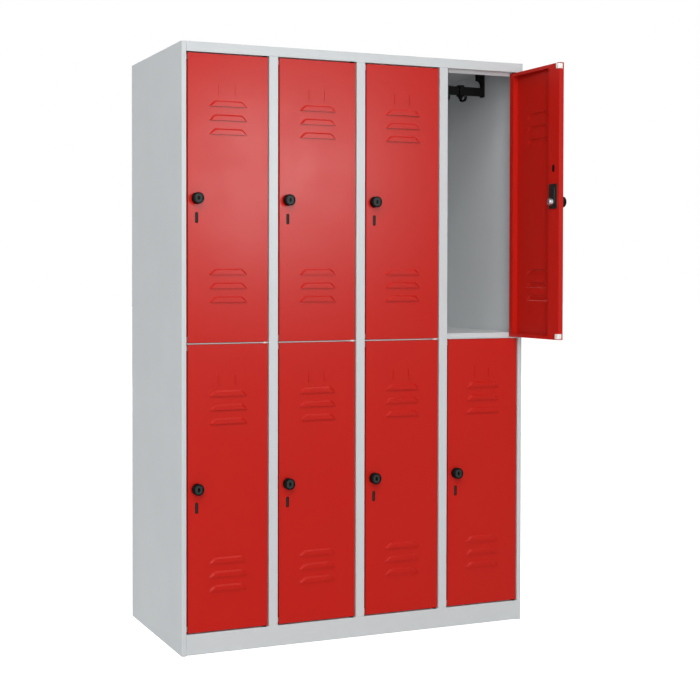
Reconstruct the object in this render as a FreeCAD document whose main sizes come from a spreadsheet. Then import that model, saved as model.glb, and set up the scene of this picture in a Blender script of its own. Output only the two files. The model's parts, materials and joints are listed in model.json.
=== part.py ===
import FreeCAD, Part
import math
import os

import Sketcher
from FreeCAD import Vector

# Steel compartment locker: four columns of two compartments, every door hung on its right edge.
# Millimetres. The origin is the middle of the footprint on the floor, +X to the right seen from
# the front, +Y towards the back, +Z up. The upper door of the last column stands open.

columns = 4
louvres_in_group = 3
brace_count = 3

driving = {
    # cabinet
    "width": 1200,
    "depth": 500,
    "height": 1850,
    "sheet": 0.8,             # thickness of all steel sheet
    "bend": 1.6,              # outside radius of the folds
    "stile": 15,              # front face of a side panel
    "post": 30,               # front face of a partition
    "post_return": 20,        # depth of the returns that the locks latch behind
    "header": 30,
    "plinth": 65,
    "plinth_lift": 2,         # plinth face above the floor
    "flange": 15,             # welding flanges at the back and under plinth and shelves
    "stop_setback": 22,       # door stops behind the front plane
    "stop_reach": 11,         # stop lip under the header, riser above the plinth
    "stop_left": 15,          # stop lip from the left edge of its opening
    "stop_right": 15,         # stop lip from the right edge of its opening
    "shelf_rise": 14,         # shelf above the foot of the upper door
    "shelf_fold": 30,         # front fold of a shelf
    "brace_width": 40,
    "brace_inset": 60,        # outer brace from the side of the cabinet
    "brace_end": 25,          # braces from the front and back planes
    "wall_hole_radius": 4.5,
    "wall_hole_inset": 150,   # wall-fixing hole from the side
    "wall_hole_drop": 90,     # wall-fixing hole below the top
    # doors
    "door_gap": 4,            # round a door, but for the gap between two doors
    "middle_gap": 5,          # between the upper and the lower door
    "door_thick": 18,
    "door_bend": 1.5,
    "lock_lip": 55,           # folded lip inside the door, on the free side
    "hinge_lip": 19,          # lip over the hollow edge that the hinge pins run in
    "end_lip": 11,            # lips at top and bottom
    "open_angle": 91,         # door that stands open
    # hinges
    "hinge_inset": 9,         # pin from the right edge of the door
    "hinge_setback": 8,       # pin behind the front plane
    "pin_radius": 3,
    "pin_reach": 10,          # pin inside the door
    "pin_head_radius": 5,
    "pin_head": 3,
    "running": 0.05,          # radial clearance of pins, spindles and barrels
    "plate_thick": 2,         # hinge plate between two doors
    "plate_width": 14,
    "washer_radius": 8,
    "washer_play": 0.3,       # washer to door
    # louvres
    "louvre_width": 124,      # at the foot of a hood
    "louvre_tall": 18,
    "louvre_run": 16,         # ends of a hood lean inwards by this
    "louvre_corner": 16,
    "louvre_depth": 4.5,
    "louvre_bevel": 4.8,      # sloping band round the top and the ends of a hood
    "louvre_pitch": 42,
    "louvre_top": 157.5,      # first hood of the upper group below the top of the door
    "louvre_foot": 122,       # last hood of the lower group above the foot of the door
    # label holder
    "label_width": 63.5,
    "label_tall": 32,
    "label_top": 91,          # below the top of the door
    "label_lip": 10,          # guide over the edge of the card
    "label_slit": 1.2,        # room for the card
    # lock
    "lock_inset": 28.5,       # lock axis from the free edge of the door
    "knob_radius": 17.5,
    "knob_reach": 21,         # front of the knob before the door
    "knob_rim": 3.5,
    "knob_dish": 1.6,
    "knob_round": 2,
    "key_wide": 2.2,
    "key_tall": 9,
    "key_deep": 5,
    "rose_radius": 15.5,      # collar of the barrel on the door
    "rose_thick": 3,
    "barrel_radius": 11,
    "clamp_width": 40,        # plate that clamps the barrel to the lock lip
    "clamp_up": 57,           # lock axis to the top of the plate
    "clamp_down": 22,
    "clamp_corner": 2,
    "spindle_radius": 6,
    "cam_width": 30,
    "cam_up": 45,             # lock axis to the tip of the cam
    "cam_down": 14,
    "cam_thick": 4,
    "cam_round": 11,
    "cam_tip_round": 8,
    "cam_clear": 0.5,         # cam behind the returns of the frame, knob before its collar
    "cam_nut": 21,            # across the flats
    "cam_nut_thick": 9,
    "nut_gap": 0.1,           # nut to cam
    # slot under the lock, hole in the lock lip, corner plugs
    "slot_wide": 10.5,
    "slot_tall": 33,
    "slot_drop": 58,          # slot below the lock axis
    "slot_corner": 4,
    "cover_margin": 4,        # cover round the slot, behind the door
    "cover_thick": 2,
    "lip_hole_wide": 12.5,
    "lip_hole_tall": 24,
    "lip_hole_rise": 106,     # hole in the lip above the lock axis
    "lip_hole_corner": 6,
    "plug_wide": 14,          # plug in a free corner of the door
    "plug_tall": 19,
    "plug_lap": 15,           # plug along the edge of the door, from the lip towards the front
    "plug_corner": 2,
    "plug_clear": 0.4,        # plug to door stop
    # coat rails and hooks
    "rail_length": 220,
    "rail_thick": 12,
    "rail_tall": 28,
    "rail_drop": 73,          # ceiling to the middle of the rail
    "rail_setback": 171,      # behind the front plane
    "bracket": 12,            # upright at the end of a rail
    "bracket_foot": 30,       # under the ceiling
    "bracket_foot_thick": 35,
    "bracket_gusset": 16,
    "bracket_toe": 4,         # bracket below the rail
    "rail_corner": 4,
    "hook_width": 18,
    "hook_wall": 5,
    "hook_play": 0.4,         # ring to rail
    "hook_corner": 6,
    "hook_stem": 16,          # width of the stem
    "hook_prong": 8,          # width of the prong
    "hook_drop": 38,          # foot of the hook below the middle of the rail
    "hook_reach": 35,         # prong before the middle of the rail
    "hook_tip": 21,           # tip of the prong below the middle of the rail
    "hook_thick": 5,
    "hook_bow": 13,           # outside bow of the prong
    "hook_left": 48,          # resting places left and right of the middle
    "hook_right": 17.5,
}


class Size:
    # A length with the sheet expression that gives it.

    def __init__(self, value, text):
        self.value = float(value)
        self.text = text

    def __add__(self, other):
        other = as_size(other)
        return Size(self.value + other.value, f"({self.text} + {other.text})")

    def __sub__(self, other):
        other = as_size(other)
        return Size(self.value - other.value, f"({self.text} - {other.text})")

    def __mul__(self, factor):
        return Size(self.value * factor, f"{self.text} * {factor}")

    def __truediv__(self, factor):
        return Size(self.value / factor, f"{self.text} / {factor}")

    def __neg__(self):
        return Size(-self.value, f"(0 - {self.text})")


def as_size(value):
    return value if isinstance(value, Size) else Size(value, str(float(value)))


doc = FreeCAD.newDocument("compartment_locker")
sheet = doc.addObject("Spreadsheet::Sheet", "sizes")
for row, (word, number) in enumerate(driving.items(), start=1):
    sheet.set(f"A{row}", word)
    sheet.set(f"B{row}", str(number))
    sheet.setAlias(f"B{row}", word)
doc.recompute()


def size(word):
    return Size(sheet.get(word), f"sizes.{word}")


nothing = as_size(0)
width = size("width")
depth = size("depth")
height = size("height")
metal = size("sheet")
bend = size("bend")
stile = size("stile")
post = size("post")
door_gap = size("door_gap")
running = size("running")
stop_setback = size("stop_setback")

# Grid of the front: openings between the posts, and the doors in them
opening = (width - stile * 2 - post * (columns - 1)) / columns
pitch = opening + post
door_width = opening - door_gap * 2
door_height = (height - size("header") - size("plinth") - door_gap * 2 - size("middle_gap")) / 2
header_foot = height - size("header")
roof_underside = height - metal
back_face = depth - metal
door_foot = {"lower": size("plinth") + door_gap}
door_foot["upper"] = door_foot["lower"] + door_height + size("middle_gap")
floor_top = size("plinth") + size("stop_reach")
shelf_top = door_foot["upper"] + size("shelf_rise")
ceiling = {"lower": shelf_top - metal, "upper": roof_underside}

# Hinge axis of the first column, from the left front corner of the cabinet
hinge_inset = size("hinge_inset")
hinge_x = stile + opening - door_gap - hinge_inset
hinge_y = size("hinge_setback")
pin_hole = size("pin_radius") + running

# Door in its own frame: the hinge axis is upright through the origin, the foot of the door is at z 0
door_left = hinge_inset - door_width
door_front = -hinge_y
door_back = door_front + size("door_thick")
lock_x = door_left + size("lock_inset")
lock_z = door_height / 2
barrel_hole = size("barrel_radius") + running
cam_front = door_front + size("post_return") + size("cam_clear")
nut_front = cam_front + size("cam_thick") + size("nut_gap")


# Sketching: outlines are lists of (x, y) or (x, y, radius) corners, discs have a centre and a radius.
# A round corner is tied by the centre of its arc where it is square, and else by the point of the corner.

square = 1e-6                 # cosine of a turn that counts as square


def box(x0, y0, x1, y1, radius=None):
    ends = [(x0, y0), (x1, y0), (x1, y1), (x0, y1)]
    return ends if radius is None else [(x, y, radius) for x, y in ends]


def hexagon(x, y, flats):
    corner = flats / math.sqrt(3)
    turns = [math.radians(60 * step) for step in range(6)]
    return [(x + corner * round(math.sin(turn), 6), y + corner * round(math.cos(turn), 6)) for turn in turns]


class Disc:
    def __init__(self, x, y, radius):
        self.x = as_size(x)
        self.y = as_size(y)
        self.radius = radius


def fold(path):
    # Outline of sheet folded along an outside path of square turns, with the metal left of the path
    ways = []
    for (x0, y0), (x1, y1) in zip(path, path[1:]):
        dx, dy = x1.value - x0.value, y1.value - y0.value
        ways.append((round(dx / math.hypot(dx, dy)), round(dy / math.hypot(dx, dy))))
    outside, inside = [], []
    for place, (x, y) in enumerate(path):
        beside = ways[max(place - 1, 0):place + 1]
        across = sum(-dy for dx, dy in beside)
        up = sum(dx for dx, dy in beside)
        inner = (x + metal * across, y + metal * up)
        if len(beside) == 1 or place == 0:
            outside.append((x, y))
            inside.append(inner)
            continue
        left_turn = beside[0][0] * beside[1][1] - beside[0][1] * beside[1][0] > 0
        wide, tight = bend, bend - metal
        outside.append((x, y, wide if left_turn else tight))
        inside.append(inner + (tight if left_turn else wide,))
    return outside + inside[::-1]


def pin_point(sketch, geometry, end, x, y, known):
    # Ties a point of the sketch to its two distances from the sketch's origin
    for kind, length in (("DistanceX", x), ("DistanceY", y)):
        constraint = sketch.addConstraint(Sketcher.Constraint(kind, -1, 1, geometry, end, length.value))
        known.append((constraint, length))


def draw_outline(sketch, corners):
    corners = [tuple(as_size(value) for value in corner) for corner in corners]
    count = len(corners)
    spots = [Vector(corner[0].value, corner[1].value, 0) for corner in corners]
    ways = [(spots[(i + 1) % count] - spots[i]).normalize() for i in range(count)]
    first = sketch.GeometryCount
    starts, ends, arcs = [], [], []
    for i, corner in enumerate(corners):
        if len(corner) == 2:
            starts.append(spots[i])
            ends.append(spots[i])
            continue
        setback = corner[2].value * math.tan(ways[i - 1].getAngle(ways[i]) / 2)
        ends.append(spots[i] - ways[i - 1] * setback)
        starts.append(spots[i] + ways[i] * setback)
    for i in range(count):
        sketch.addGeometry(Part.LineSegment(starts[i], ends[(i + 1) % count]), False)
    known = []
    for i, corner in enumerate(corners):
        arriving, leaving = first + (i - 1) % count, first + i
        if len(corner) == 2:
            sketch.addConstraint(Sketcher.Constraint("Coincident", arriving, 2, leaving, 1))
            pin_point(sketch, leaving, 1, corner[0], corner[1], known)
            continue
        before, after, radius = ways[i - 1], ways[i], corner[2]
        left_turn = before.x * after.y - before.y * after.x > 0
        side = 1 if left_turn else -1
        centre = ends[i] + Vector(-before.y, before.x, 0) * radius.value * side
        circle = Part.Circle(centre, Vector(0, 0, 1), radius.value)
        ends_on = (ends[i], starts[i]) if left_turn else (starts[i], ends[i])
        angles = [math.atan2(end.y - centre.y, end.x - centre.x) for end in ends_on]
        arc = sketch.addGeometry(Part.ArcOfCircle(circle, angles[0], angles[1]), False)
        enter, leave = (1, 2) if left_turn else (2, 1)
        sketch.addConstraint(Sketcher.Constraint("Tangent", arriving, 2, arc, enter))
        sketch.addConstraint(Sketcher.Constraint("Tangent", arc, leave, leaving, 1))
        if abs(before.dot(after)) < square:
            shift = after - before
            middle_x = corner[0] + radius * round(shift.x)
            middle_y = corner[1] + radius * round(shift.y)
            pin_point(sketch, arc, 3, middle_x, middle_y, known)
        else:
            point = sketch.addGeometry(Part.Point(spots[i]), True)
            pin_point(sketch, point, 1, corner[0], corner[1], known)
            sketch.addConstraint(Sketcher.Constraint("PointOnObject", point, 1, arriving))
            sketch.addConstraint(Sketcher.Constraint("PointOnObject", point, 1, leaving))
        known.append((sketch.addConstraint(Sketcher.Constraint("Radius", arc, radius.value)), radius))
    return known


def draw_disc(sketch, disc):
    spot = Vector(disc.x.value, disc.y.value, 0)
    circle = sketch.addGeometry(Part.Circle(spot, Vector(0, 0, 1), disc.radius.value), False)
    known = []
    pin_point(sketch, circle, 3, disc.x, disc.y, known)
    radius = sketch.addConstraint(Sketcher.Constraint("Radius", circle, disc.radius.value))
    known.append((radius, disc.radius))
    return known


# Features: a plane is named by its axes, and everything grows or is cut towards +Z, +Y or +X

def origin_feature(body, role):
    return next(feature for feature in body.Origin.OriginFeatures if feature.Role == role)


def bind(target, name, length):
    target.setExpression(name, as_size(length).text)


def new_body(label, x, y, z, turn=None):
    body = doc.addObject("PartDesign::Body", label)
    body.Label = label
    body.AllowCompound = True
    bind(body, "Placement.Base.x", x - width / 2)
    bind(body, "Placement.Base.y", y - depth / 2)
    bind(body, "Placement.Base.z", z)
    if turn is not None:
        bind(body, "Placement.Rotation.Angle", turn)
    return body


def cabinet_body(label):
    return new_body(label, nothing, nothing, nothing)


def sketch_on(body, plane, at, shapes):
    sketch = body.newObject("Sketcher::SketchObject", "Profile")
    sketch.AttachmentSupport = [(origin_feature(body, plane + "_Plane"), "")]
    sketch.MapMode = "FlatFace"
    at = as_size(at)
    bind(sketch, "AttachmentOffset.Base.z", -at if plane == "XZ" else at)
    for shape in shapes:
        known = draw_disc(sketch, shape) if isinstance(shape, Disc) else draw_outline(sketch, shape)
        for constraint, length in known:
            bind(sketch, f"Constraints[{constraint}]", length)
    return sketch


def grow(body, plane, at, length, *shapes):
    pad = body.newObject("PartDesign::Pad", "Pad")
    pad.Profile = sketch_on(body, plane, at, shapes)
    pad.Reversed = plane == "XZ"
    bind(pad, "Length", length)
    return pad


def carve(body, plane, at, length, *shapes):
    pocket = body.newObject("PartDesign::Pocket", "Pocket")
    pocket.Profile = sketch_on(body, plane, at, shapes)
    pocket.Reversed = plane != "XZ"
    bind(pocket, "Length", length)
    return pocket


def repeat(body, features, axis, step, count):
    row = body.newObject("PartDesign::LinearPattern", "Row")
    row.Originals = features
    row.Direction = (origin_feature(body, axis + "_Axis"), [""])
    row.Occurrences = count
    bind(row, "Length", step * (count - 1))
    body.Tip = row
    return row


def round_edges(body, radius, chosen):
    # Rounds the edges of the body so far that the test picks
    doc.recompute()
    base = body.Tip
    names = [f"Edge{i}" for i, edge in enumerate(base.Shape.Edges, start=1) if chosen(edge)]
    fillet = body.newObject("PartDesign::Fillet", "Fillet")
    fillet.Base = (base, names)
    bind(fillet, "Radius", radius)
    return fillet


# Carcass

def side_panel(label, right):
    path = [(size("flange"), back_face), (nothing, back_face), (nothing, nothing), (stile, nothing),
            (stile, size("post_return"))]
    if right:
        path = [(width - x, y) for x, y in path[::-1]]
    body = cabinet_body(label)
    grow(body, "XY", nothing, roof_underside, fold(path))
    return body


def partitions():
    middle = stile + opening + post / 2
    left, right = middle - post / 2, middle + post / 2
    web_left, web_right = middle - metal / 2, middle + metal / 2
    behind = size("post_return")
    section = [(left, nothing, bend), (right, nothing, bend), (right, behind), (right - metal, behind),
               (right - metal, metal), (web_right, metal), (web_right, back_face), (web_left, back_face),
               (web_left, metal), (left + metal, metal), (left + metal, behind), (left, behind)]
    body = cabinet_body("partitions")
    foot = size("plinth")
    post_pad = grow(body, "XY", foot, roof_underside - foot, section)
    behind_header = stop_setback + metal
    foot_notch = carve(body, "XY", foot, size("stop_reach"), box(left, stop_setback - bend, right, depth))
    head_notch = carve(body, "XY", header_foot, size("header"), box(left, -metal, right, behind_header))
    repeat(body, [post_pad, foot_notch, head_notch], "X", pitch, columns - 1)
    return body


def back_panel():
    body = cabinet_body("back_panel")
    hole_z = height - size("wall_hole_drop")
    inset, radius = size("wall_hole_inset"), size("wall_hole_radius")
    grow(body, "XZ", back_face, metal, box(nothing, nothing, width, roof_underside),
         Disc(inset, hole_z, radius), Disc(width - inset, hole_z, radius))
    return body


def roof_panel():
    body = cabinet_body("roof_panel")
    path = [(depth, height), (nothing, height), (nothing, header_foot), (stop_setback + metal, header_foot)]
    grow(body, "YZ", stile, width - stile * 2, fold(path))
    for left in (nothing, width - stile):
        grow(body, "XY", roof_underside, metal, box(left, nothing, left + stile, depth))
    lip = box(stile + size("stop_left"), header_foot - size("stop_reach"),
              stile + opening - size("stop_right"), header_foot + metal)
    lip_pad = grow(body, "XZ", stop_setback, metal, lip)
    repeat(body, [lip_pad], "X", pitch, columns)
    pins = [carve(body, "XY", header_foot, metal, Disc(hinge_x, hinge_y, pin_hole))]
    repeat(body, pins, "X", pitch, columns)
    return body


def floor_panel():
    body = cabinet_body("floor_panel")
    lift = size("plinth_lift")
    path = [(back_face, floor_top), (stop_setback, floor_top), (stop_setback, size("plinth")),
            (nothing, size("plinth")), (nothing, lift), (size("flange"), lift)]
    grow(body, "YZ", stile, width - stile * 2, fold(path))
    for left, right in ((metal, stile), (width - stile, width - metal)):
        grow(body, "XY", floor_top - metal, metal, box(left, stop_setback, right, back_face - bend))
    pins = [carve(body, "XY", size("plinth") - metal, metal, Disc(hinge_x, hinge_y, pin_hole))]
    repeat(body, pins, "X", pitch, columns)
    return body


def plinth_braces():
    body = cabinet_body("plinth_braces")
    left = size("brace_inset") - size("brace_width") / 2
    right = left + size("brace_width")
    top = floor_top - metal
    end = size("brace_end")
    path = [(left, top), (left, nothing), (right, nothing), (right, top)]
    brace = grow(body, "XZ", end, depth - end * 2, fold(path))
    repeat(body, [brace], "X", (width - size("brace_inset") * 2) / (brace_count - 1), brace_count)
    return body


def shelves():
    body = cabinet_body("shelves")
    left = stile - post / 2 + metal
    fold_foot = shelf_top - size("shelf_fold")
    rear = back_face - bend
    path = [(rear, shelf_top - size("flange")), (rear, shelf_top), (stop_setback, shelf_top),
            (stop_setback, fold_foot), (stop_setback + size("flange"), fold_foot)]
    shelf = grow(body, "YZ", left, pitch - metal * 2, fold(path))
    repeat(body, [shelf], "X", pitch, columns)
    return body


# Hinges

plate_foot = door_foot["upper"] - size("middle_gap") / 2 - size("plate_thick") / 2
plate_top = plate_foot + size("plate_thick")
lower_door_top = door_foot["lower"] + door_height
upper_door_top = door_foot["upper"] + door_height


def hinge_plates():
    body = cabinet_body("hinge_plates")
    half = size("plate_width") / 2
    left, right = hinge_x - half, hinge_x + hinge_inset + door_gap
    corner = half - metal
    outline = [(left, hinge_y - half, corner), (right, hinge_y - half), (right, hinge_y + half),
               (left, hinge_y + half, corner)]
    plate = grow(body, "XY", plate_foot, size("plate_thick"), outline, Disc(hinge_x, hinge_y, pin_hole))
    repeat(body, [plate], "X", pitch, columns)
    return body


def hinge_pins():
    body = cabinet_body("hinge_pins")
    shank = Disc(hinge_x, hinge_y, size("pin_radius"))
    head = Disc(hinge_x, hinge_y, size("pin_head_radius"))
    reach = metal + size("pin_reach")
    top_seat, foot_seat = header_foot + metal, size("plinth") - metal
    foot_length = door_foot["lower"] + reach - foot_seat
    pins = [
        grow(body, "XY", upper_door_top - reach, top_seat - upper_door_top + reach, shank),
        grow(body, "XY", top_seat, size("pin_head"), head),
        grow(body, "XY", lower_door_top - reach, size("middle_gap") + reach * 2, shank),
        grow(body, "XY", foot_seat - size("pin_head"), size("pin_head"), head),
        grow(body, "XY", foot_seat, foot_length, shank),
    ]
    repeat(body, pins, "X", pitch, columns)
    return body


def hinge_washers():
    body = cabinet_body("hinge_washers")
    play = size("washer_play")
    spans = [(size("plinth"), door_foot["lower"] - play), (lower_door_top + play, plate_foot),
             (plate_top, door_foot["upper"] - play), (upper_door_top + play, header_foot)]
    rings = []
    for foot, top in spans:
        rim, hole = Disc(hinge_x, hinge_y, size("washer_radius")), Disc(hinge_x, hinge_y, pin_hole)
        rings.append(grow(body, "XY", foot, top - foot, rim, hole))
    repeat(body, rings, "X", pitch, columns)
    return body


# Doors

def placed_on_door(label, tier, column, turn):
    return new_body(label, hinge_x + pitch * column, hinge_y, door_foot[tier], turn)


def louvre_loft(body, kind, back, front, foot):
    # Hood or hollow: a round-shouldered outline behind, a smaller one in front, both with a flat foot
    middle = (door_left + hinge_inset) / 2
    outlines = []
    for inset in (nothing, size("louvre_bevel")):
        half = size("louvre_width") / 2 - inset
        shoulder = half - size("louvre_run")
        corner = size("louvre_corner") - inset
        top = foot + size("louvre_tall") - inset
        outlines.append([(middle - half, foot), (middle + half, foot), (middle + shoulder, top, corner),
                         (middle - shoulder, top, corner)])
    loft = body.newObject(f"PartDesign::{kind}", "Louvre")
    loft.Profile = sketch_on(body, "XZ", back, outlines[:1])
    loft.Sections = [sketch_on(body, "XZ", front, outlines[1:])]
    loft.Ruled = True
    return loft


def door_panel(label, tier, column, turn):
    body = placed_on_door(label, tier, column, turn)
    thick = size("door_thick")
    grow(body, "XZ", door_front, thick, box(door_left, nothing, hinge_inset, door_height))
    in_front = door_front.value
    round_edges(body, size("door_bend"), lambda edge: abs(edge.BoundBox.YMax - in_front) < metal.value / 2)
    hinge_wall = hinge_inset - size("hinge_lip")
    pan = box(door_left + metal, metal, hinge_wall, door_height - metal)
    hinge_edge = box(hinge_wall + metal, metal, hinge_inset - metal, door_height - metal)
    carve(body, "XZ", door_front + metal, thick - metal * 2, pan, hinge_edge)
    end = size("end_lip")
    window = box(door_left + size("lock_lip"), end, hinge_wall, door_height - end)
    carve(body, "XZ", door_back - metal, metal, window)
    carve(body, "XZ", door_back - size("plug_lap"), size("plug_lap"), *plug_outlines(nothing))
    carve(body, "XZ", door_front, thick, Disc(lock_x, lock_z, barrel_hole))
    half_wide, half_tall = size("slot_wide") / 2, size("slot_tall") / 2
    slot_z = lock_z - size("slot_drop")
    carve(body, "XZ", door_front, metal, box(lock_x - half_wide, slot_z - half_tall, lock_x + half_wide,
                                             slot_z + half_tall, size("slot_corner")))
    half_wide, half_tall = size("lip_hole_wide") / 2, size("lip_hole_tall") / 2
    hole_z = lock_z + size("lip_hole_rise")
    carve(body, "XZ", door_back - metal, metal, box(lock_x - half_wide, hole_z - half_tall,
                                                    lock_x + half_wide, hole_z + half_tall,
                                                    size("lip_hole_corner")))
    carve(body, "XY", nothing, metal, Disc(nothing, nothing, pin_hole))
    carve(body, "XY", door_height - metal, metal, Disc(nothing, nothing, pin_hole))
    label_guides(body)
    front = door_front - size("louvre_depth")
    step = size("louvre_pitch")
    upper_foot = door_height - size("louvre_top") - step * (louvres_in_group - 1)
    for foot in (upper_foot, size("louvre_foot")):
        hood = louvre_loft(body, "AdditiveLoft", door_front, front, foot)
        hollow = louvre_loft(body, "SubtractiveLoft", door_front + metal, front + metal, foot)
        repeat(body, [hood, hollow], "Z", step, louvres_in_group)
    return body


def label_guides(body):
    # Two angled guides on the sheet that a card slides into from above
    middle = (door_left + hinge_inset) / 2
    half = size("label_width") / 2
    top = door_height - size("label_top")
    outer_face = door_front - size("label_slit") - metal
    inner_face = outer_face + metal
    lip = size("label_lip")
    left = [(middle - half, outer_face), (middle - half + lip, outer_face), (middle - half + lip, inner_face),
            (middle - half + metal, inner_face), (middle - half + metal, door_front),
            (middle - half, door_front)]
    right = [(middle + half - lip, outer_face), (middle + half, outer_face), (middle + half, door_front),
             (middle + half - metal, door_front), (middle + half - metal, inner_face),
             (middle + half - lip, inner_face)]
    grow(body, "XY", top - size("label_tall"), size("label_tall"), left, right)


def plug_outlines(corner):
    # Plugs at the foot and the top of the free edge, seen from the front
    side = door_left + size("plug_wide")
    foot, top = size("plug_tall"), door_height - size("plug_tall")
    outer = (corner,) if corner.value else ()
    return [[(door_left, nothing) + outer, (side, nothing), (side, foot), (door_left, foot)],
            [(door_left, top), (side, top), (side, door_height), (door_left, door_height) + outer]]


def door_fittings(label, tier, column, turn):
    body = placed_on_door(label, tier, column, turn)
    bore = Disc(lock_x, lock_z, size("spindle_radius") + running)
    rose = size("rose_thick")
    barrel_length = cam_front - size("cam_clear") - door_front
    grow(body, "XZ", door_front - rose, rose, Disc(lock_x, lock_z, size("rose_radius")), bore)
    grow(body, "XZ", door_front, barrel_length, Disc(lock_x, lock_z, size("barrel_radius")), bore)
    clamp_thick = cam_front - size("cam_clear") - door_back
    half_wide = size("clamp_width") / 2
    clamp = box(lock_x - half_wide, lock_z - size("clamp_down"), lock_x + half_wide,
                lock_z + size("clamp_up"), size("clamp_corner"))
    grow(body, "XZ", door_back, clamp_thick, clamp, Disc(lock_x, lock_z, barrel_hole))
    margin = size("cover_margin")
    half_wide, half_tall = size("slot_wide") / 2 + margin, size("slot_tall") / 2 + margin
    slot_z = lock_z - size("slot_drop")
    grow(body, "XZ", door_front + metal, size("cover_thick"),
         box(lock_x - half_wide, slot_z - half_tall, lock_x + half_wide, slot_z + half_tall,
             size("slot_corner")))
    nose = stop_setback - size("door_thick") - size("plug_clear")
    lap = size("plug_lap")
    for outline in plug_outlines(size("plug_corner")):
        grow(body, "XZ", door_back - lap, lap + nose, outline)
    return body


def lock_knob(label, tier, column, turn):
    body = placed_on_door(label, tier, column, turn)
    face = door_front - size("knob_reach")
    knob_back = door_front - size("rose_thick") - size("cam_clear")
    grow(body, "XZ", face, knob_back - face, Disc(lock_x, lock_z, size("knob_radius")))
    at_face = face.value
    round_edges(body, size("knob_round"), lambda edge: abs(edge.BoundBox.YMax - at_face) < metal.value / 2)
    carve(body, "XZ", face, size("knob_dish"), Disc(lock_x, lock_z, size("knob_radius") - size("knob_rim")))
    half_wide, half_tall = size("key_wide") / 2, size("key_tall") / 2
    carve(body, "XZ", face + size("knob_dish"), size("key_deep"),
          box(lock_x - half_wide, lock_z - half_tall, lock_x + half_wide, lock_z + half_tall))
    grow(body, "XZ", knob_back, nut_front + size("cam_nut_thick") - knob_back,
         Disc(lock_x, lock_z, size("spindle_radius")))
    return body


def lock_cam(label, tier, column, turn):
    body = placed_on_door(label, tier, column, turn)
    bore = Disc(lock_x, lock_z, size("spindle_radius") + running)
    left, right = lock_x - size("cam_width") / 2, lock_x + size("cam_width") / 2
    foot, top = lock_z - size("cam_down"), lock_z + size("cam_up")
    outline = [(left, foot, size("cam_round")), (right, foot, size("cam_round")),
               (right, top, size("cam_tip_round")), (left, top, size("cam_tip_round"))]
    grow(body, "XZ", cam_front, size("cam_thick"), outline, bore)
    grow(body, "XZ", nut_front, size("cam_nut_thick"), hexagon(lock_x, lock_z, size("cam_nut")), bore)
    return body


# Coat rails and hooks, in a frame with its origin in the middle of the rail

rail_x = stile + opening / 2
rail_y = size("rail_setback")


def coat_rails():
    body = cabinet_body("coat_rails")
    half_long, half_tall = size("rail_length") / 2, size("rail_tall") / 2
    left, right = rail_x - half_long, rail_x + half_long
    bracket, foot = size("bracket"), size("bracket_foot")
    gusset, corner = size("bracket_gusset"), size("rail_corner")
    rails = []
    for tier in ("lower", "upper"):
        top = ceiling[tier]
        under_foot = top - size("bracket_foot_thick")
        bar_foot = top - size("rail_drop") - half_tall
        bar_top = bar_foot + size("rail_tall")
        toe = bar_foot - size("bracket_toe")
        outline = [(left, toe, corner), (left + bracket, toe), (left + bracket, bar_foot),
                   (right - bracket, bar_foot), (right - bracket, toe), (right, toe, corner),
                   (right, top), (right - foot, top),
                   (right - foot, under_foot), (right - bracket, under_foot, gusset),
                   (right - bracket, bar_top, corner), (left + bracket, bar_top, corner),
                   (left + bracket, under_foot, gusset), (left + foot, under_foot), (left + foot, top),
                   (left, top)]
        rails.append(grow(body, "XZ", rail_y - size("rail_thick") / 2, size("rail_thick"), outline))
    repeat(body, rails, "X", pitch, columns)
    return body


def coat_hook(label, tier, column, offset):
    body = new_body(label, rail_x + pitch * column + offset, rail_y, ceiling[tier] - size("rail_drop"))
    play, wall = size("hook_play"), size("hook_wall")
    inner_y, inner_z = size("rail_thick") / 2 + play, size("rail_tall") / 2 + play
    ring_y, ring_z = inner_y + wall, inner_z + wall
    grow(body, "YZ", -size("hook_width") / 2, size("hook_width"),
         box(-ring_y, -ring_z, ring_y, ring_z, size("hook_corner")),
         box(-inner_y, -inner_z, inner_y, inner_z))
    thick, bow = size("hook_thick"), size("hook_bow")
    foot, tip, front = -size("hook_drop"), -size("hook_tip"), -size("hook_reach")
    inner_bow = bow - thick
    stem_back, stem_front = thick / 2, -thick / 2
    prong = [(stem_back, -inner_z), (stem_front, -inner_z), (stem_front, foot + thick, inner_bow),
             (front + thick, foot + thick, inner_bow), (front + thick, tip), (front, tip),
             (front, foot, bow), (stem_back, foot, bow)]
    grow(body, "YZ", -size("hook_prong") / 2, size("hook_prong"), prong)
    stem = box(stem_front, foot + bow, stem_back, -inner_z)
    grow(body, "YZ", -size("hook_stem") / 2, size("hook_stem"), stem)
    return body


# All sub-parts

sub_parts = [
    side_panel("left_side_panel", False), side_panel("right_side_panel", True), partitions(), back_panel(),
    roof_panel(), floor_panel(), plinth_braces(), shelves(), hinge_plates(), hinge_pins(), hinge_washers(),
    coat_rails(),
]
open_door = ("upper", columns - 1)
for tier in ("upper", "lower"):
    for column in range(columns):
        turn = size("open_angle") if (tier, column) == open_door else None
        place = f"{tier}_{column + 1}"
        for make in (door_panel, door_fittings, lock_knob, lock_cam):
            sub_parts.append(make(f"{make.__name__}_{place}", tier, column, turn))
        sub_parts.append(coat_hook(f"coat_hook_{place}_left", tier, column, -size("hook_left")))
        sub_parts.append(coat_hook(f"coat_hook_{place}_right", tier, column, size("hook_right")))

doc.recompute()

for thing in doc.Objects:
    if "Invalid" in thing.State or "Error" in thing.State:
        raise RuntimeError(f"{thing.Label} failed: {thing.State}")
for part in sub_parts:
    if part.Shape.isNull() or not part.Shape.isValid():
        raise RuntimeError(f"{part.Label} has no valid shape")

os.makedirs("parts", exist_ok=True)
for part in sub_parts:
    part.Shape.exportStep(f"parts/{part.Label}.step")
    print(part.Label, len(part.Shape.Solids), "solids", round(part.Shape.Volume / 1000, 2), "cm3")
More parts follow.
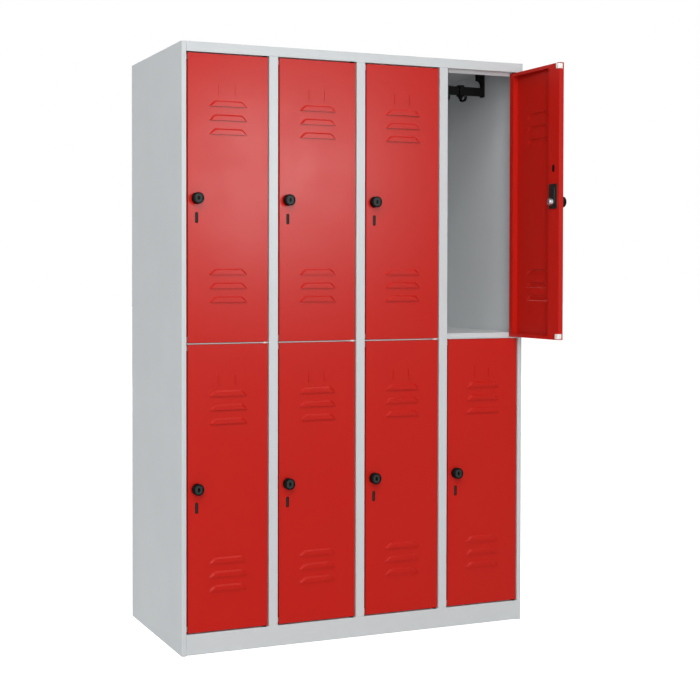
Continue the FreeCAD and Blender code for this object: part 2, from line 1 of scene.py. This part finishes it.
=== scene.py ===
import json
import math

import bpy
import numpy as np
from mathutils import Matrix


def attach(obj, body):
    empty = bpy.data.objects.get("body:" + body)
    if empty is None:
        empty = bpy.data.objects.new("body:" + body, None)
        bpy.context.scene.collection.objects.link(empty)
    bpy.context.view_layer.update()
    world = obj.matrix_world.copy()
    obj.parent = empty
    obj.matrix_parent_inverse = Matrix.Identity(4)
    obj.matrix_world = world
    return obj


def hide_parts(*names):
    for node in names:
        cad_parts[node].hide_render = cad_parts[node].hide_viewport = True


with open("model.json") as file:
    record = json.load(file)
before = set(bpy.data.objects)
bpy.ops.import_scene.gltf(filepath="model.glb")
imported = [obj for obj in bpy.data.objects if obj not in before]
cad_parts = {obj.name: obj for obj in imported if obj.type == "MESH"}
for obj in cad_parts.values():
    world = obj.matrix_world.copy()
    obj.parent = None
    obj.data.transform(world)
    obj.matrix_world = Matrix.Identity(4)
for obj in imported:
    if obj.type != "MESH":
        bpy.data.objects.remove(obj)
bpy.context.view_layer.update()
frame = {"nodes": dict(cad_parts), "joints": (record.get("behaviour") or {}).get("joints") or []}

metre = 1000  # in millimetres, which the pieces are worked out in
nodes = frame["nodes"]
joints = {joint["name"]: joint for joint in frame["joints"]}
lockerColumns = (1, 2, 3, 4)
doorNames = [f"{tier}_{column}" for tier in ("upper", "lower") for column in lockerColumns]


# materials

def linear(hexText):  # sRGB hex to linear red, green, blue, alpha
    c = np.array([int(hexText[i:i + 2], 16) for i in (1, 3, 5)]) / 255
    c = np.where(c <= 0.04045, c / 12.92, ((c + 0.055) / 1.055) ** 2.4)
    return (*c.tolist(), 1.0)


def perMetre(millimetres):  # texture scale for a pattern of this real size
    return metre / millimetres


def put(tree, kind, values=None, links=None):  # one node: values are settings or sockets, links feed sockets
    node = tree.nodes.new(kind)
    for key, value in (values or {}).items():
        if isinstance(key, str) and hasattr(node, key):
            setattr(node, key, value)
        else:
            node.inputs[key].default_value = value
    for key, source in (links or {}).items():
        tree.links.new(source, node.inputs[key])
    return node


cloudNoise = {"Detail": 3.0, "Roughness": 0.55}  # broad, soft patches
grainNoise = {"Detail": 2.0, "Roughness": 0.5}  # fine relief
cloudSpan = {"From Min": 0.3, "From Max": 0.7}  # the part of the noise that changes the roughness
colourA, colourB, colourMixed = 6, 7, 2  # sockets of a Mix node that is set to colour


def finish(name, look):
    # a shader with a cloudy change of colour and roughness, and a fine grain in its relief
    material = bpy.data.materials.new(name)
    material.use_nodes = True
    tree = material.node_tree
    tree.nodes.clear()
    place = put(tree, "ShaderNodeTexCoord").outputs["Object"]
    cloud = put(tree, "ShaderNodeTexNoise", {"Scale": perMetre(look["cloudMm"]), **cloudNoise},
                {"Vector": place})
    grain = put(tree, "ShaderNodeTexNoise", {"Scale": perMetre(look["grainMm"]), **grainNoise},
                {"Vector": place})
    colour = put(tree, "ShaderNodeMix",
                 {"data_type": "RGBA", colourA: linear(look["colour"]), colourB: linear(look["shade"])},
                 {0: cloud.outputs["Fac"]})
    low, high = look["roughness"]
    rough = put(tree, "ShaderNodeMapRange", {**cloudSpan, "To Min": low, "To Max": high},
                {"Value": cloud.outputs["Fac"]})
    relief = put(tree, "ShaderNodeBump", {"Strength": look["relief"], "Distance": look["reliefMm"] / metre},
                 {"Height": grain.outputs["Fac"]})
    shader = put(tree, "ShaderNodeBsdfPrincipled",
                 {"Metallic": look["metallic"], "Specular IOR Level": look["gloss"], "IOR": look["ior"]},
                 {"Base Color": colour.outputs[colourMixed], "Roughness": rough.outputs["Result"],
                  "Normal": relief.outputs["Normal"]})
    put(tree, "ShaderNodeOutputMaterial", links={"Surface": shader.outputs["BSDF"]})
    return material


# polyester powder baked on sheet steel: semi-matt, soft broad highlights, a faint orange peel;
# the peel is 1.5 mm across on the real sheet and is drawn at 4 mm to show
greyCoat = {"colour": "#CCD0D1", "shade": "#C7CBCC", "cloudMm": 180, "roughness": (0.40, 0.46),
            "grainMm": 4.0, "relief": 0.10, "reliefMm": 0.05, "metallic": 0.0, "gloss": 0.12, "ior": 1.5}
# the same powder in red, a little smoother
redCoat = {**greyCoat, "colour": "#BD1C12", "shade": "#B91B11", "roughness": (0.34, 0.40)}
# zinc plate on turned steel: bluish white, with a fine crystalline mottle
zincPlate = {"colour": "#C9CCD0", "shade": "#A9ADB3", "cloudMm": 5, "roughness": (0.26, 0.40),
             "grainMm": 1.2, "relief": 0.12, "reliefMm": 0.03, "metallic": 1.0, "gloss": 0.5, "ior": 1.5}
# moulded nylon: milky white, waxy, smooth from the tool
nylon = {"colour": "#F0EFEA", "shade": "#E6E4DE", "cloudMm": 8, "roughness": (0.38, 0.46),
         "grainMm": 1.0, "relief": 0.06, "reliefMm": 0.03, "metallic": 0.0, "gloss": 0.4, "ior": 1.53}
# moulded ABS: near black with the fine spark texture of the tool, drawn at 0.9 mm
blackAbs = {"colour": "#0B0B0C", "shade": "#101011", "cloudMm": 15, "roughness": (0.42, 0.52),
            "grainMm": 0.9, "relief": 0.15, "reliefMm": 0.03, "metallic": 0.0, "gloss": 0.035, "ior": 1.54}
# the same resin with a coarser, matt texture, on the coat rails and hooks
mattAbs = {**blackAbs, "colour": "#0A0A0B", "shade": "#0E0E0F", "cloudMm": 20, "roughness": (0.52, 0.62),
           "grainMm": 1.4, "relief": 0.20, "reliefMm": 0.04, "gloss": 0.04}
# the same resin in grey, floor of the tray in the slot
greyAbs = {**blackAbs, "colour": "#322F2B", "shade": "#2D2A26", "roughness": (0.46, 0.56), "gloss": 0.03}
# black passivated steel: dark with a low sheen
blackSteel = {"colour": "#1A1C1B", "shade": "#212322", "cloudMm": 12, "roughness": (0.36, 0.46),
              "grainMm": 1.5, "relief": 0.12, "reliefMm": 0.03, "metallic": 0.0, "gloss": 0.15, "ior": 1.6}
# die-cast zinc with a matt dark finish, face of the key cylinder
darkCast = {"colour": "#363D3B", "shade": "#2E3533", "cloudMm": 6, "roughness": (0.36, 0.46),
            "grainMm": 0.8, "relief": 0.10, "reliefMm": 0.03, "metallic": 0.0, "gloss": 0.03, "ior": 1.5}

greyCoatedSteel = finish("greyPowderCoatedSteel", greyCoat)
redCoatedSteel = finish("redPowderCoatedSteel", redCoat)
zincPlatedSteel = finish("zincPlatedSteel", zincPlate)
mouldedNylon = finish("mouldedNylon", nylon)
mouldedAbs = finish("blackMouldedAbs", blackAbs)
mattMouldedAbs = finish("mattBlackMouldedAbs", mattAbs)
greyMouldedAbs = finish("greyMouldedAbs", greyAbs)
blackPassivatedSteel = finish("blackPassivatedSteel", blackSteel)
darkDieCast = finish("darkDieCastZinc", darkCast)

nodeFinish = {  # by the start of the node's name
    "left_side_panel": greyCoatedSteel, "right_side_panel": greyCoatedSteel, "partitions": greyCoatedSteel,
    "back_panel": greyCoatedSteel, "roof_panel": greyCoatedSteel, "floor_panel": greyCoatedSteel,
    "plinth_braces": greyCoatedSteel, "shelves": greyCoatedSteel, "hinge_plates": greyCoatedSteel,
    "hinge_pins": zincPlatedSteel, "hinge_washers": mouldedNylon, "coat_rails": mattMouldedAbs,
    "door_panel": redCoatedSteel, "lock_knob": mouldedAbs, "coat_hook": mattMouldedAbs,
    "door_fittings": mouldedAbs, "lock_cam": blackPassivatedSteel,
}
for name, node in nodes.items():
    kind = next(start for start in nodeFinish if name.startswith(start))
    for materialSlot in node.material_slots:
        materialSlot.material = nodeFinish[kind]
print("finishes set:", len(nodeFinish), "kinds of sheet and fitting")


# surfaces

crispAngle = math.radians(32)  # an edge that turns by more than this stays sharp


def skin(name, points, loop, poles, material):
    # points[row, column] is the surface: columns go round, rows run along and close too where loop is set;
    # poles are the middle points that close the first and the last row
    rows, columns = points.shape[:2]
    index = np.arange(rows * columns).reshape(rows, columns)
    here, there = (index, np.roll(index, -1, 0)) if loop else (index[:-1], index[1:])
    faces = np.stack([here, np.roll(here, -1, 1), np.roll(there, -1, 1), there], -1).reshape(-1, 4)
    points = points.reshape(-1, 3)
    fans = []
    for ring, pole in zip((index[0][::-1], index[-1]), poles):
        fans.append(np.stack([ring, np.roll(ring, -1), np.full(columns, len(points))], -1))
        points = np.vstack([points, pole])
    corners = np.vstack([faces[:, [0, 1, 2]], faces[:, [0, 2, 3]], *fans])
    a, b, c = (points[corners[:, k]] for k in (0, 1, 2))
    outwards = np.einsum("ij,ij->", a, np.cross(b, c)) > 0  # sign of the volume
    step = 1 if outwards else -1
    mesh = bpy.data.meshes.new(name)
    mesh.from_pydata(points, [], [face for patch in (faces, *fans) for face in patch[:, ::step].tolist()])
    mesh.polygons.foreach_set("use_smooth", np.ones(len(mesh.polygons), bool))
    mesh.set_sharp_from_angle(angle=crispAngle)
    mesh.materials.append(material)
    piece = bpy.data.objects.new(name, mesh)
    bpy.context.scene.collection.objects.link(piece)
    return piece


def roundBox(wide, tall, corner, steps=7, border=0.0):
    # outline of a box with round corners: a quarter circle about the middle of each corner, in turn right
    # top, left top, left foot and right foot; corner is one radius or four, and border draws the outline in
    turn = np.linspace(0, math.pi / 2, steps)
    quarter = np.arange(4)[:, None] * math.pi / 2 + turn
    radius = np.broadcast_to(np.array(corner) - border, 4)[:, None, None]
    signs = np.array([[1, 1], [-1, 1], [-1, -1], [1, -1]])[:, None]
    middle = signs * (np.array([wide, tall]) / 2 - border - radius)
    return (middle + radius * np.stack([np.cos(quarter), np.sin(quarter)], -1)).reshape(-1, 2)


def ringOf(radius, columns=48):  # circle as x and z
    turn = np.linspace(0, 2 * math.pi, columns, endpoint=False)
    return np.stack([radius * np.cos(turn), radius * np.sin(turn)], -1)


def stack(rings, depths):  # rings of x and z at their depths, millimetres, as one grid of points
    return np.stack([np.stack([ring[:, 0], np.broadcast_to(depth, len(ring)), ring[:, 1]], -1)
                     for ring, depth in zip(rings, depths)])


def turned(profile, columns=48):  # a profile of radius and depth carried round the axis
    return stack([ringOf(radius, columns) for radius, depth in profile], [depth for radius, depth in profile])


# locks and door fittings
# each is worked out in millimetres about the lock axis: x to the right, depth behind the face of the door
# and z up

doorFace = 8.0  # the lock joint lies this far behind the face of the door


def onDoor(points, door):
    # points of a closed door, turned about the upright by the door's own angle and set on its lock, in metres
    lock = joints[f"lock_turn_{door}"]
    turn = math.atan2(lock["axis"][0], -lock["axis"][1])  # 0 on a closed door
    c, s = math.cos(turn), math.sin(turn)
    x, y, z = points[..., 0], points[..., 1] - doorFace, points[..., 2]
    return np.stack([c * x - s * y, s * x + c * y, z], -1) / metre + np.array(lock["pos_m"])


def fit(name, points, door, body, material, replaced=None, loop=False, poles=()):
    # one fitting: its surface and poles set on the door, to move with the door or with its lock
    middles = [onDoor(np.array(pole), door) for pole in poles]
    piece = skin(f"{name}_{door}", onDoor(points, door), loop, middles, material)
    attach(piece, f"{body}_{door}")
    if replaced:
        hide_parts(f"{replaced}_{door}")


barrel = {"bore": 6.05, "rose": 15.5, "roseThick": 3.0, "roseEdge": 0.8, "edgeMiddle": 0.3, "shank": 11.0,
          "end": 20.0, "endEdge": 0.6}


def lockBarrel(door):
    # rose before the sheet and shank through it, round the bore of the spindle: a profile of radius and
    # depth, turned about the axis
    bore, rose, shank, end = (barrel[key] for key in ("bore", "rose", "shank", "end"))
    front, edge, endEdge = -barrel["roseThick"], barrel["roseEdge"], barrel["endEdge"]
    middle = edge * barrel["edgeMiddle"]
    section = [(bore, front), (rose - edge, front), (rose - middle, front + middle), (rose, front + edge),
               (rose, 0), (shank, 0), (shank, end - endEdge), (shank - endEdge, end), (bore, end)]
    fit("lockBarrel", turned(section), door, "door", mouldedAbs, "door_fittings", loop=True)


clamp = {"wide": 40.0, "up": 57.0, "down": 22.0, "corners": (2.0, 2.0, 2.0, 2.0), "front": 18.0, "back": 20.0,
         "edge": 0.5, "bore": 11.05, "steps": 11}  # holds the barrel on the lock lip
cam = {"wide": 30.0, "up": 45.0, "down": 14.0, "corners": (8.0, 8.0, 11.0, 11.0), "front": 20.5, "back": 24.5,
       "edge": 0.7, "bore": 6.05, "steps": 11}  # round foot and blunt tip


def pressedPlate(plate):
    # a round-cornered plate with a bore, as one loop of outlines: bore, broken front edge, rim, broken back
    # edge and bore again
    outline = plate["wide"], plate["up"] + plate["down"], plate["corners"], plate["steps"]
    shift = np.array([0, (plate["up"] - plate["down"]) / 2])
    front, back, edge = plate["front"], plate["back"], plate["edge"]
    rim = roundBox(*outline) + shift
    face = roundBox(*outline, border=edge) + shift
    bore = rim / np.linalg.norm(rim, axis=1, keepdims=True) * plate["bore"]
    return stack([bore, face, rim, rim, face, bore], [front, front, front + edge, back - edge, back, back])


tray = {"drop": 58.0, "wide": 18.5, "tall": 41.0, "corner": 4.0, "edge": 0.4, "rim": 0.1, "front": 0.8,
        "back": 2.8, "slotWide": 10.3, "slotTall": 32.8, "slotCorner": 3.9, "wall": 1.6, "floor": 1.4,
        "inlay": 1.1, "play": 0.1}


def slotTray(door):
    # round-cornered outlines joined in turn: floor, inner wall, rim level with the sheet, outer wall,
    # flange behind the sheet; the inlay is a plate on the floor
    drop = np.array([0, tray["drop"]])
    slot = tray["slotWide"], tray["slotTall"], tray["slotCorner"]
    back = tray["wide"], tray["tall"], tray["corner"]
    outer = roundBox(*slot) - drop
    inner = roundBox(*slot, border=tray["wall"]) - drop
    flange = roundBox(*back) - drop
    small = roundBox(*back, border=tray["edge"]) - drop
    dish = stack([inner, inner, outer, outer, flange, flange, small],
                 [tray["floor"], tray["rim"], tray["rim"], tray["front"], tray["front"],
                  tray["back"] - tray["edge"], tray["back"]])
    fit("slotTray", dish, door, "door", mouldedAbs,
        poles=[(0, depth, -tray["drop"]) for depth in (tray["floor"], tray["back"])])
    plate = roundBox(*slot, border=tray["wall"] + tray["play"]) - drop
    depths = tray["inlay"], tray["floor"]
    fit("slotInlay", stack([plate, plate], depths), door, "door", greyMouldedAbs,
        poles=[(0, depth, -tray["drop"]) for depth in depths])


blank = {"wide": 12.3, "tall": 23.8, "corner": 5.9, "front": 16.8, "back": 18.3, "edge": 0.5, "rise": 106.0}


def lipBlank(door):
    # blanking plug in the hole of the lock lip: an oval carried back, its edge broken
    outline = blank["wide"], blank["tall"], blank["corner"]
    rise = np.array([0, blank["rise"]])
    oval = roundBox(*outline) + rise
    face = roundBox(*outline, border=blank["edge"]) + rise
    front, back = blank["front"], blank["back"]
    fit("lipBlank", stack([oval, oval, face], [front, back - blank["edge"], back]), door, "door", mouldedAbs,
        poles=[(0, depth, blank["rise"]) for depth in (front, back)])


plug = {"wide": 14.0, "tall": 16.8, "topCorners": (0.6, 2.0, 0.6, 4.0), "footCorners": (4.0, 0.6, 2.0, 0.6),
        "front": 5.6, "nose": 21.6, "edge": 1.8, "noseSteps": 5, "across": -21.5, "apart": 424.9}


def cornerPlug(door, end, side):
    # plug in a free corner of the door: its outline carried back, then drawn in along a quarter circle to a
    # rounded nose towards the door stop
    corners, edge = plug[end + "Corners"], plug["edge"]
    at = np.array([plug["across"], side * plug["apart"]])
    turn = np.linspace(0, math.pi / 2, plug["noseSteps"])
    cuts = [0, *edge * (1 - np.cos(turn))]
    rings = [roundBox(plug["wide"] - 2 * cut, plug["tall"] - 2 * cut, corners) + at for cut in cuts]
    depths = [plug["front"], *plug["nose"] - edge + edge * np.sin(turn)]
    fit(f"cornerPlug_{end}", stack(rings, depths), door, "door", mouldedNylon,
        poles=[(at[0], depth, at[1]) for depth in (plug["front"], plug["nose"])])


fold = {"left": -28.5, "right": -14.5, "front": 3.0, "web": 2.5, "back": 18.0, "top": 435.5, "flange": 2.0,
        "foot": 416.5}


def cornerFold(door, end, side):
    # fold of the sheet that the plug sits in: an angle carried across, its web behind the face of the door
    # and its flange along the end of the door
    front, back, top, foot = (fold[key] for key in ("front", "back", "top", "foot"))
    web, flange = front + fold["web"], top - fold["flange"]
    angle = np.array([(front, foot), (web, foot), (web, flange), (back, flange), (back, top), (front, top)])
    heel = np.array([(front + web) / 2, (top + flange) / 2])
    ends = fold["left"], fold["right"]
    rings = [np.insert(angle * (1, side), 0, x, axis=1) for x in ends]
    fit(f"cornerFold_{end}", np.stack(rings), door, "door", redCoatedSteel,
        poles=[(x, *heel * (1, side)) for x in ends])


nut = {"acrossFlats": 21.0, "bore": 6.05, "front": 24.6, "back": 33.6, "crown": 0.95, "coneDegrees": 30.0,
       "columns": 72}


def camNut(door):
    # a hexagon carried from bore to flats and back, its corners cut by a cone on both faces
    half, front, back = nut["acrossFlats"] / 2, nut["front"], nut["back"]
    turn = np.linspace(0, 2 * math.pi, nut["columns"], endpoint=False)
    ray = np.stack([np.cos(turn), np.sin(turn)], -1)
    reach = half / np.cos((turn + math.pi / 6) % (math.pi / 3) - math.pi / 6)
    cut = (reach - nut["crown"] * half) * math.tan(math.radians(nut["coneDegrees"]))
    bore, crown, flat = ray * nut["bore"], ray * nut["crown"] * half, ray * reach[:, None]
    grid = stack([bore, crown, flat, flat, crown, bore], [front, front, front + cut, back - cut, back, back])
    fit("camNut", grid, door, "lock", zincPlatedSteel, loop=True)


screw = {"radius": 7.5, "seat": 33.7, "side": 0.9, "dome": 1.6, "domeSteps": 7, "columns": 36}


def camScrew(door):
    # head of the screw in the spindle: a short side and a flat dome along a quarter ellipse, turned
    radius, seat, rim = screw["radius"], screw["seat"], screw["seat"] + screw["side"]
    turn = np.linspace(0, math.pi / 2, screw["domeSteps"])[:-1]  # the pole closes the top
    head = [(radius, seat), *zip(radius * np.cos(turn), rim + screw["dome"] * np.sin(turn))]
    fit("camScrew", turned(head, screw["columns"]), door, "lock", zincPlatedSteel,
        poles=[(0, depth, 0) for depth in (seat, rim + screw["dome"])])


keyDisc = {"radius": 13.4, "edge": 0.4, "front": -20.5, "back": -19.4, "keyWide": 8.0, "keyTall": 13.0,
           "keyCorner": 3.9, "steps": 12}


def keyFace(door):
    # disc in the dish of the knob, as one loop: from an oval left open round the key slot, out to the rim
    # and back
    key = roundBox(keyDisc["keyWide"], keyDisc["keyTall"], keyDisc["keyCorner"], keyDisc["steps"])
    ray = key / np.linalg.norm(key, axis=1, keepdims=True)
    radius, edge, front, back = (keyDisc[item] for item in ("radius", "edge", "front", "back"))
    disc = stack([key, ray * (radius - edge), ray * radius, ray * radius, key],
                 [front, front, front + edge, back, back])
    fit("keyFace", disc, door, "lock", darkDieCast, loop=True)


for door in doorNames:
    lockBarrel(door)
    fit("clampPlate", pressedPlate(clamp), door, "door", blackPassivatedSteel, loop=True)
    slotTray(door)
    lipBlank(door)
    for end, side in (("top", 1), ("foot", -1)):
        cornerPlug(door, end, side)
        cornerFold(door, end, side)
    fit("camPlate", pressedPlate(cam), door, "lock", blackPassivatedSteel, "lock_cam",
        loop=True)
    camNut(door)
    camScrew(door)
    keyFace(door)
print("locks and door fittings made:", len(doorNames), "doors")


# hinge washers: rings turned about the hinge, white nylon on the plates between the doors; those at the roof
# and the plinth are black, painted shade for the shadowed hinge gaps there; millimetres from the foot of the
# door

washer = {"radius": 8.0, "bore": 3.05, "edge": 0.3}
washerSpan = {("lower", "foot"): (-4.0, -0.3), ("lower", "top"): (871.3, 872.5),
              ("upper", "foot"): (-1.5, -0.3), ("upper", "top"): (871.3, 875.0)}
# the washers at the roof and the plinth are painted black as shade for the dark hinge gaps
shadeBlackWashers = (("lower", "foot"), ("upper", "top"))
radius, bore, edge = washer["radius"], washer["bore"], washer["edge"]
for door in doorNames:
    for end in ("foot", "top"):
        where = door.split("_")[0], end
        low, high = washerSpan[where]
        section = [(bore, low), (radius - edge, low), (radius, low + edge), (radius, high - edge),
                   (radius - edge, high), (bore, high)]
        ring = turned(section)[..., [0, 2, 1]] / metre + np.array(joints[f"door_swing_{door}"]["pos_m"])
        black = where in shadeBlackWashers
        piece = skin(f"hingeWasher_{door}_{end}", ring, True, (), mouldedAbs if black else mouldedNylon)
        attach(piece, "carcass")
        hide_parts("hinge_washers")
print("hinge washers made:", 2 * len(doorNames))


# strip between the upper and the lower doors: a flat bar with a half-round nose, its outline carried across,
# in line with the hinge plate and laid against the fold of the shelf; millimetres from the hinge axis, the
# face of the door and the foot of the lower door

strip = {"left": -256.8, "right": -7.6, "nose": 0.8, "rear": 21.9, "thick": 2.6, "rise": 873.5, "noseSteps": 9}
radius, nose, rear, rise = strip["thick"] / 2, strip["nose"], strip["rear"], strip["rise"]
sides = strip["left"], strip["right"]
turn = np.linspace(math.pi / 2, 3 * math.pi / 2, strip["noseSteps"])
bow = np.stack([nose + radius + radius * np.cos(turn), rise + radius * np.sin(turn)], -1)
outline = np.vstack([bow, [(rear, rise - radius), (rear, rise + radius)]])
ends = np.stack([np.insert(outline, 0, x, axis=1) for x in sides])
heart = np.array([(x, (nose + rear) / 2, rise) for x in sides])
for column in lockerColumns:
    hinge, lock = (joints[f"{kind}_lower_{column}"]["pos_m"] for kind in ("door_swing", "lock_turn"))
    at = np.array([hinge[0], lock[1] - doorFace / metre, hinge[2]])
    piece = skin(f"shelfStrip_{column}", ends / metre + at, False, heart / metre + at, greyCoatedSteel)
    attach(piece, "carcass")
print("strips between the doors made:", len(lockerColumns))


# floor and light

studio = {"floorHalf": 40.0, "floorColour": "#D8D8D8", "floorLift": 0.97, "worldDiffuse": 0.175,
          "worldTint": "#F2F8FF"}
white = (1, 1, 1, 1)

half = studio["floorHalf"]
mesh = bpy.data.meshes.new("studioFloor")
mesh.from_pydata([(-half, -half, 0), (half, -half, 0), (half, half, 0), (-half, half, 0)], [], [(0, 1, 2, 3)])
floor = bpy.data.objects.new("studioFloor", mesh)
bpy.context.scene.collection.objects.link(floor)


def seenAsWhite(tree):  # camera, glossy and transmitted rays added up: 1 for these, 0 for scattered light
    path = put(tree, "ShaderNodeLightPath").outputs
    total = path["Is Camera Ray"]
    for ray in ("Is Glossy Ray", "Is Transmission Ray"):
        total = put(tree, "ShaderNodeMath", {"operation": "ADD"}, {0: total, 1: path[ray]}).outputs[0]
    return total


# matt white paper: the lift makes it white to the camera and in reflections, and it keeps the shadow
paper = bpy.data.materials.new("whitePaper")
paper.use_nodes = True
tree = paper.node_tree
tree.nodes.clear()
lift = put(tree, "ShaderNodeMath", {"operation": "MULTIPLY", 1: studio["floorLift"]}, {0: seenAsWhite(tree)})
glow = put(tree, "ShaderNodeEmission", {"Color": white}, {"Strength": lift.outputs[0]})
matt = put(tree, "ShaderNodeBsdfDiffuse", {"Color": linear(studio["floorColour"])})
both = put(tree, "ShaderNodeAddShader", links={0: matt.outputs[0], 1: glow.outputs[0]})
put(tree, "ShaderNodeOutputMaterial", links={"Surface": both.outputs[0]})
mesh.materials.append(paper)

# white studio: white to the camera and in reflections, and a low, slightly blue fill on the object
world = bpy.data.worlds.new("whiteStudio")
bpy.context.scene.world = world
world.use_nodes = True
tree = world.node_tree
tree.nodes.clear()
seen = seenAsWhite(tree)
level = put(tree, "ShaderNodeMapRange", {"To Min": studio["worldDiffuse"], "To Max": 1.0}, {"Value": seen})
tint = put(tree, "ShaderNodeMix",
           {"data_type": "RGBA", colourA: linear(studio["worldTint"]), colourB: white}, {0: seen})
sky = put(tree, "ShaderNodeBackground",
          links={"Color": tint.outputs[colourMixed], "Strength": level.outputs["Result"]})
put(tree, "ShaderNodeOutputWorld", links={"Surface": sky.outputs[0]})


def softbox(name, at, towards, size, power, inGloss):
    # an area lamp, tilted from straight down and then turned about the upright until it faces its aim;
    # it shows either in reflections or as light on matt surfaces
    lamp = bpy.data.lights.new(name, "AREA")
    lamp.shape = "RECTANGLE"
    lamp.size, lamp.size_y = size
    lamp.energy = power
    box = bpy.data.objects.new(name, lamp)
    box.location = at
    aim = np.array(towards) - np.array(at)
    box.rotation_euler = (math.atan2(np.hypot(aim[0], aim[1]), -aim[2]), 0, math.atan2(-aim[0], aim[1]))
    box.visible_camera = False
    box.visible_diffuse = not inGloss
    box.visible_glossy = inGloss
    bpy.context.scene.collection.objects.link(box)


frontMiddle = (0.0, -0.25, 0.9)
softboxes = {  # place, aim, size in metres, watts
    "frontSoftbox": ((0.3, -9.0, 1.0), frontMiddle, (2.0, 1.4), 45.0),
    "cameraSoftbox": ((-3.6, -8.5, 1.6), frontMiddle, (3.0, 3.0), 165.0),
    "middleSoftbox": ((-3.6, -8.5, 4.9), frontMiddle, (3.0, 3.0), 160.0),
    "leftSoftbox": ((-5.0, -5.5, 6.5), frontMiddle, (5.0, 5.0), 158.0),
    "highSoftbox": ((-2.0, -7.0, 9.0), frontMiddle, (4.0, 4.0), 345.0),
    "sideSoftbox": ((-9.0, 1.8, 2.0), (-0.6, 0.0, 0.9), (3.0, 3.0), 132.0),
    "rightSoftbox": ((9.0, 1.8, 2.5), (0.6, 0.0, 0.9), (3.0, 3.0), 150.0),
    "rearSoftbox": ((1.5, 9.0, 4.0), (0.0, 0.25, 0.9), (4.0, 4.0), 230.0),
}
cards = {  # the same for white cards that only show in reflections
    "sheenCard": ((0.52, -2.25, 1.64), (-0.3, -0.25, 1.43), (0.7, 0.5), 56.0),  # broad sheen on the doors
    "edgeCard": ((-4.2, -2.6, 3.4), (-0.2, -0.25, 0.6), (1.2, 1.2), 170.0),  # glints on the ends of the hoods
    "skyCard": ((0.9, -0.9, 4.6), (0.2, -0.25, 0.6), (3.0, 2.5), 72.0),  # light line on the tops of the hoods
}
for lamps, inGloss in ((softboxes, False), (cards, True)):
    for name, lamp in lamps.items():
        softbox(name, *lamp, inGloss)
print("floor, world and lamps set:", len(softboxes), "softboxes,", len(cards), "cards")


# camera

view = {"at": (-1.876, -3.853, 1.150), "pitch": -1.012, "yaw": -20.770, "lens": 65.66, "sensor": 36.0,
        "shift": (0.2, -0.075)}
camera = bpy.data.objects.new("camera", bpy.data.cameras.new("camera"))
camera.location = view["at"]
camera.rotation_euler = (math.radians(90 + view["pitch"]), 0, math.radians(view["yaw"]))  # 90 is level
camera.data.sensor_width = view["sensor"]
camera.data.lens = view["lens"]
camera.data.shift_x, camera.data.shift_y = view["shift"]
bpy.context.scene.collection.objects.link(camera)
bpy.context.scene.camera = camera
bpy.context.scene.view_settings.view_transform = "Standard"
